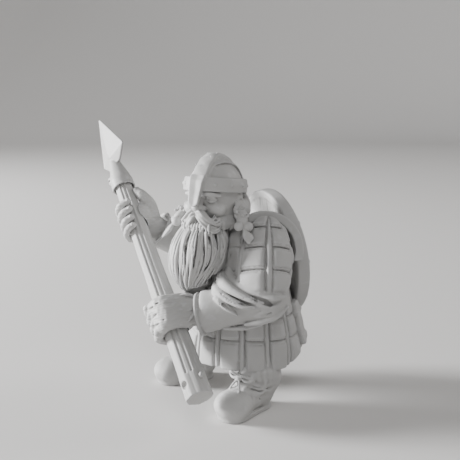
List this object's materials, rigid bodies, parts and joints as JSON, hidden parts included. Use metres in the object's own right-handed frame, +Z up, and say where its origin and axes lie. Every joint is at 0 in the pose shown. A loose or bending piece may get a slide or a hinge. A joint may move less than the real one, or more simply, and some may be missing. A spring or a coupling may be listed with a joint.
{
  "type": "tabletop miniature figure",
  "caption": "Stocky bearded dwarf spearman in a quilted coat and riveted helmet, holding a spear across its front, with a round shield on its back.",
  "frame": {"origin": "on the ground, midway between the two boots, where the centre of a round base would be", "axes": "+Z up from the soles to the helmet, -Y the way the figure's body faces, +X its left hand"},
  "size_m": [0.0309, 0.0213, 0.0333],
  "materials": {
    "resin": "matte light grey casting resin, unpainted"
  },
  "bodies": {
    "figure": {"torso": "resin", "coat_skirt": "resin", "left_leg": "resin", "right_leg": "resin", "left_boot": "resin", "right_boot": "resin", "left_sole": "resin", "right_sole": "resin", "left_laces": "resin", "right_laces": "resin", "left_upper_sleeve": "resin", "left_forearm_sleeve": "resin", "left_cuff": "resin", "left_hand": "resin", "right_upper_sleeve": "resin", "right_forearm_sleeve": "resin", "right_cuff": "resin", "right_hand": "resin", "shield_strap": "resin", "hip_sheath": "resin", "sheath_chape": "resin"},
    "head": {"neck_peg": "resin", "head": "resin", "helmet_skull": "resin", "helmet_band": "resin", "helmet_crest": "resin", "nose_guard": "resin", "helmet_rivets": "resin", "moustache": "resin", "beard": "resin", "left_braid": "resin", "right_braid": "resin", "left_beads": "resin", "right_beads": "resin", "side_hair": "resin"},
    "spear": {"spear_shaft": "resin", "butt_cap": "resin", "butt_pins": "resin", "spear_head": "resin", "spear_collar": "resin", "spear_lug": "resin"},
    "shield": {"shield_board": "resin", "shield_rim": "resin", "shield_boss": "resin", "shield_rivets": "resin", "shield_peg": "resin"}
  },
  "joints": [
    {"name": "head_turn", "type": "hinge", "parent": "figure", "child": "head", "pos_m": [0, -0.0039, 0.0206], "axis": [0, 0, 1], "range_deg": [-8, 2]},
    {"name": "spear_turn", "type": "hinge", "parent": "figure", "child": "spear", "pos_m": [0.0064, -0.0105, 0.00365], "axis": [-0.6792, 0, 0.7339], "continuous": true},
    {"name": "shield_turn", "type": "hinge", "parent": "figure", "child": "shield", "pos_m": [-0.0023, 0.00485, 0.0164], "axis": [0.172, 0.9752, 0.1392], "continuous": true}
  ]
}
